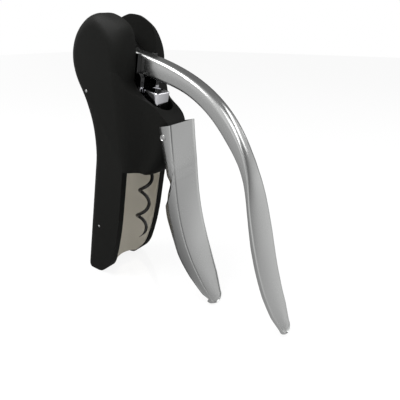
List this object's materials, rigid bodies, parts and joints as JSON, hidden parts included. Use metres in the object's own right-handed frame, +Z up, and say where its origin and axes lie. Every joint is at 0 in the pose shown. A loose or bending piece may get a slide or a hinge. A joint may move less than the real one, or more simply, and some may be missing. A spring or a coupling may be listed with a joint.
{
  "type": "lever corkscrew",
  "caption": "Upright lever corkscrew: a long curved lever drives a worm down by gears and racks while a short grip closes round the bottle neck held in a steel-lined chamber.",
  "frame": {"origin": "middle of the bounding box at the level that the feet stand on", "axes": "+Z up, +X forward towards the two levers, +Y to the left; the worm leans 12 degrees forward from +Z"},
  "size_m": [0.1662, 0.045, 0.1846],
  "materials": {
    "black_shell": "soft-touch matt black",
    "satin_metal": "satin brushed",
    "neck_steel": "polished, fine brushed",
    "chrome": "polished",
    "machined_steel": "machined",
    "bronze": "sintered bronze",
    "black_worm": "slick black non-stick coating",
    "nut_plastic": "moulded acetal"
  },
  "bodies": {
    "body": {"left_shell": "black_shell", "right_shell": "black_shell", "neck_liner": "neck_steel", "lip_stop_ring": "neck_steel", "worm_nut": "nut_plastic", "lever_axle": "machined_steel", "neck_pin": "machined_steel", "leg_pin": "machined_steel", "grip_pivot_pin": "machined_steel"},
    "lever": {"main_lever": "satin_metal", "left_gear_sector": "machined_steel", "right_gear_sector": "machined_steel", "sector_rivets": "machined_steel", "lever_bush": "bronze"},
    "carriage": {"crosshead": "chrome", "left_rack": "chrome", "right_rack": "chrome", "rack_pin": "machined_steel", "thrust_washer": "bronze", "spindle_clip": "machined_steel", "spindle_cap": "chrome"},
    "worm_spindle": {"spindle": "machined_steel", "worm": "black_worm"},
    "grip": {"grip_handle": "satin_metal"}
  },
  "joints": [
    {"name": "lever_hinge", "type": "hinge", "parent": "body", "child": "lever", "pos_m": [-0.0483, 0, 0.16215], "axis": [0, -1, 0], "range_deg": [0, 135]},
    {"name": "carriage_slide", "type": "slide", "parent": "body", "child": "carriage", "axis": [0.2079, 0, 0.9781], "range_m": [0, 0.0472]},
    {"name": "worm_spin", "type": "hinge", "parent": "carriage", "child": "worm_spindle", "pos_m": [-0.02892, 0, 0.09413], "axis": [0.2079, 0, 0.9781], "range_deg": [0, 772]},
    {"name": "grip_hinge", "type": "hinge", "parent": "body", "child": "grip", "pos_m": [-0.00404, 0, 0.11593], "axis": [0, 1, 0], "range_deg": [0, 20]}
  ],
  "couplings": [
    {"joint": "carriage_slide", "follows": "lever_hinge", "m_per_rad": 0.02},
    {"joint": "worm_spin", "follows": "lever_hinge", "ratio": 5.712}
  ]
}
